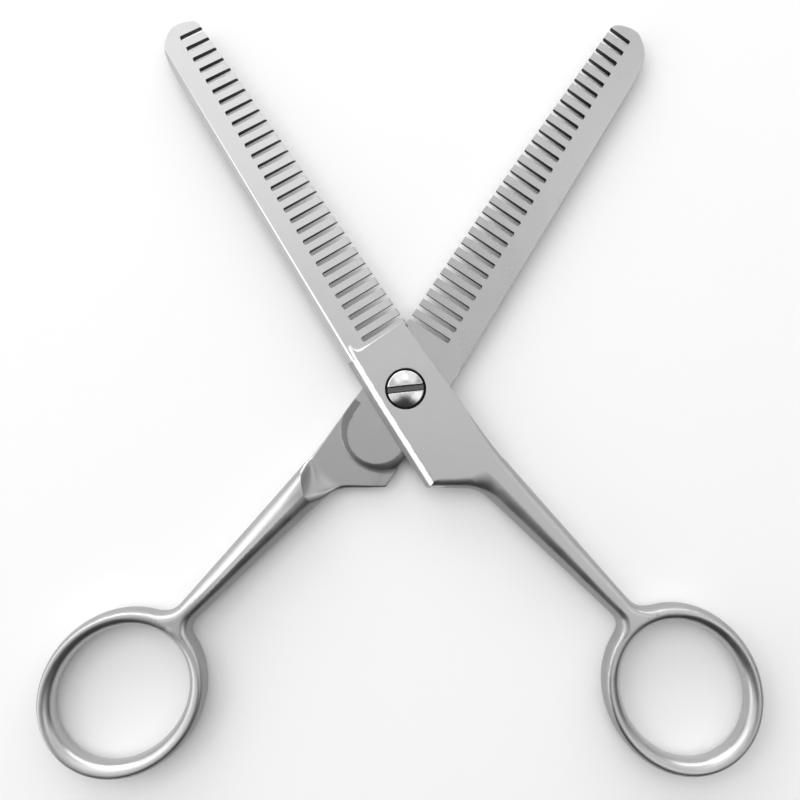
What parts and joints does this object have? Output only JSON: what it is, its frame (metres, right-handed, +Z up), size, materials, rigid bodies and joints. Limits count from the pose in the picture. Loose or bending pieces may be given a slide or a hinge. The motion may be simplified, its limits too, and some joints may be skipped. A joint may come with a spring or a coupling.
{
  "type": "thinning shears",
  "caption": "Steel hair thinning shears with toothed blades on both halves, crossing at a slotted pivot screw, with a finger ring on each shank, lying open.",
  "frame": {"origin": "on the pivot axis, on the plane that the shears rest on (the outer face of the lower lock)", "axes": "+Z up along the pivot axis; +Y from the pivot towards the blades, rings at -Y; +X to the right seen from the screw's side. The halves are 69.4 degrees open at rest."},
  "size_m": [0.1286, 0.134, 0.0054],
  "materials": {
    "satin_steel": "satin polished stainless steel",
    "polished_steel": "polished",
    "washer_steel": "plain spring steel"
  },
  "bodies": {
    "lower_half": {"lower_half": "satin_steel"},
    "upper_half": {"upper_half": "satin_steel"},
    "pivot_screw": {"pivot_screw": "polished_steel", "tension_washer": "washer_steel"}
  },
  "joints": [
    {"name": "pivot", "type": "hinge", "parent": "lower_half", "child": "upper_half", "pos_m": [0, 0, 0.0024], "axis": [0, 0, 1], "range_deg": [-62.5, 25]},
    {"name": "tension_screw", "type": "hinge", "parent": "lower_half", "child": "pivot_screw", "pos_m": [0, 0, 0.0024], "axis": [0, 0, 1], "range_deg": [-90, 90]}
  ]
}
